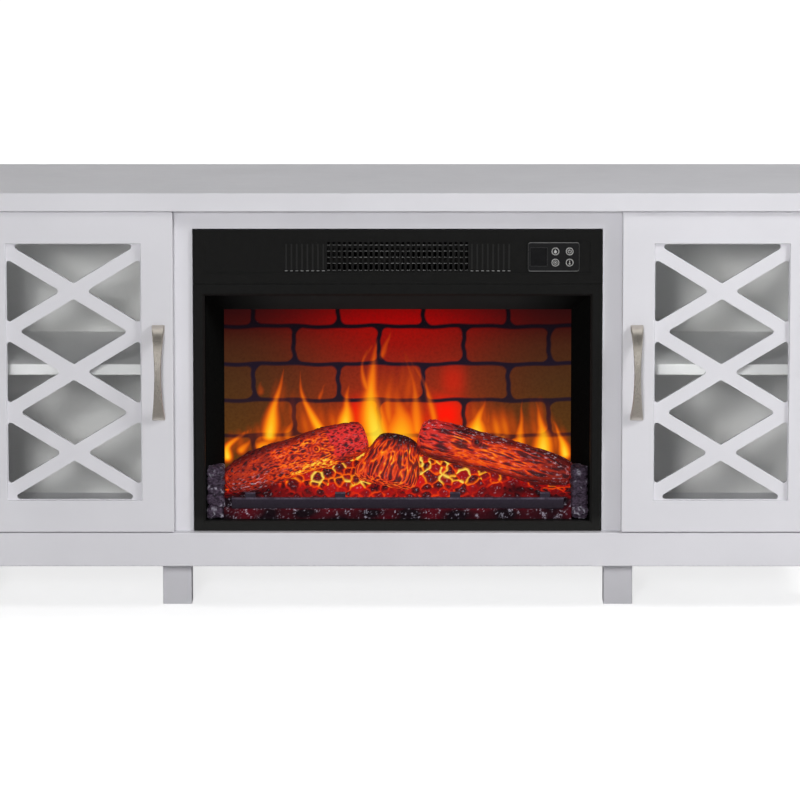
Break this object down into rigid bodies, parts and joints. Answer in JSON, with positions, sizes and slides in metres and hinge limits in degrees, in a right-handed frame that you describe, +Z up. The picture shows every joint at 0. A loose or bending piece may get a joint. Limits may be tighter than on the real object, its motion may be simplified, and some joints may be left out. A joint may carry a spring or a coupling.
{
  "type": "fireplace tv stand",
  "caption": "White TV stand with an electric fireplace insert in the middle bay and a glazed lattice door with a bow pull on each side, on short square legs.",
  "frame": {"origin": "middle of the bounding box on the floor, pulls included", "axes": "+X to the right seen from the front, +Y to the back, +Z up"},
  "size_m": [1.34, 0.4186, 0.612],
  "materials": {
    "white_paint": "satin white paint on MDF",
    "back_board": "hardboard, white inside",
    "nickel": "brushed nickel",
    "zinc": "bright zinc",
    "nylon": "moulded nylon",
    "door_glass": "clear float glass",
    "black_steel": "matt black powder coat",
    "control_black": "satin black moulding",
    "display_smoke": "smoked window",
    "button_grey": "dark grey cap with pale ring",
    "circuit_board": "solder mask",
    "element_alloy": "bare fins",
    "blower_alloy": "pressed",
    "motor_steel": "plated can",
    "flame_screen": "lit translucent brick print",
    "rotor_foil": "bright foil",
    "log_resin": "cast bark, lit from below",
    "ember_resin": "cast coals, lit from below",
    "grate_iron": "matt black",
    "gland_plastic": "moulded"
  },
  "bodies": {
    "cabinet": {"top_panel": "white_paint", "bottom_panel": "white_paint", "left_side_panel": "white_paint", "right_side_panel": "white_paint", "left_divider": "white_paint", "right_divider": "white_paint", "left_stile": "white_paint", "right_stile": "white_paint", "header_rail": "white_paint", "base_rail": "white_paint", "left_shelf": "white_paint", "right_shelf": "white_paint", "front_legs": "white_paint", "rear_legs": "white_paint", "back_panel": "back_board", "leg_screws": "zinc", "shelf_pins": "zinc", "magnet_catches": "zinc", "pivot_bushes": "nylon", "insert_housing": "black_steel", "insert_trim_frame": "black_steel", "control_fascia": "black_steel", "firebox_liner": "black_steel", "heater_duct": "black_steel", "control_panel": "control_black", "display_window": "display_smoke", "control_board": "circuit_board", "led_board": "circuit_board", "heating_element": "element_alloy", "blower_motor": "motor_steel", "rotor_motor": "motor_steel", "brick_screen": "flame_screen", "left_log": "log_resin", "right_log": "log_resin", "centre_log": "log_resin", "ember_bed": "ember_resin", "grate_bar": "grate_iron", "cord_gland": "gland_plastic"},
    "left_door": {"left_door_frame": "white_paint", "left_door_lattice": "white_paint", "left_door_glass": "door_glass", "left_glazing_beads": "white_paint", "left_handle": "nickel", "left_handle_screws": "zinc", "left_pivot_pins": "zinc", "left_strike_plate": "zinc"},
    "right_door": {"right_door_frame": "white_paint", "right_door_lattice": "white_paint", "right_door_glass": "door_glass", "right_glazing_beads": "white_paint", "right_handle": "nickel", "right_handle_screws": "zinc", "right_pivot_pins": "zinc", "right_strike_plate": "zinc"},
    "flame_button": {"flame_button": "button_grey"},
    "power_button": {"power_button": "button_grey"},
    "timer_button": {"timer_button": "button_grey"},
    "heat_button": {"heat_button": "button_grey"},
    "blower_wheel": {"blower_wheel": "blower_alloy"},
    "flame_rotor": {"flame_rotor": "rotor_foil"}
  },
  "joints": [
    {"name": "left_door_hinge", "type": "hinge", "parent": "cabinet", "child": "left_door", "pos_m": [-0.6005, -0.17225, 0.3523], "axis": [0, 0, -1], "range_deg": [0, 105]},
    {"name": "right_door_hinge", "type": "hinge", "parent": "cabinet", "child": "right_door", "pos_m": [0.6005, -0.17225, 0.3523], "axis": [0, 0, 1], "range_deg": [0, 105]},
    {"name": "flame_button_press", "type": "slide", "parent": "cabinet", "child": "flame_button", "axis": [0, 1, 0], "range_m": [0, 0.001], "stiffness_N_per_m": 500},
    {"name": "power_button_press", "type": "slide", "parent": "cabinet", "child": "power_button", "axis": [0, 1, 0], "range_m": [0, 0.001], "stiffness_N_per_m": 500},
    {"name": "timer_button_press", "type": "slide", "parent": "cabinet", "child": "timer_button", "axis": [0, 1, 0], "range_m": [0, 0.001], "stiffness_N_per_m": 500},
    {"name": "heat_button_press", "type": "slide", "parent": "cabinet", "child": "heat_button", "axis": [0, 1, 0], "range_m": [0, 0.001], "stiffness_N_per_m": 500},
    {"name": "blower_spin", "type": "hinge", "parent": "cabinet", "child": "blower_wheel", "pos_m": [0, -0.06075, 0.5151], "axis": [1, 0, 0], "continuous": true},
    {"name": "flame_rotor_spin", "type": "hinge", "parent": "cabinet", "child": "flame_rotor", "pos_m": [0, -0.02875, 0.1695], "axis": [1, 0, 0], "continuous": true}
  ]
}
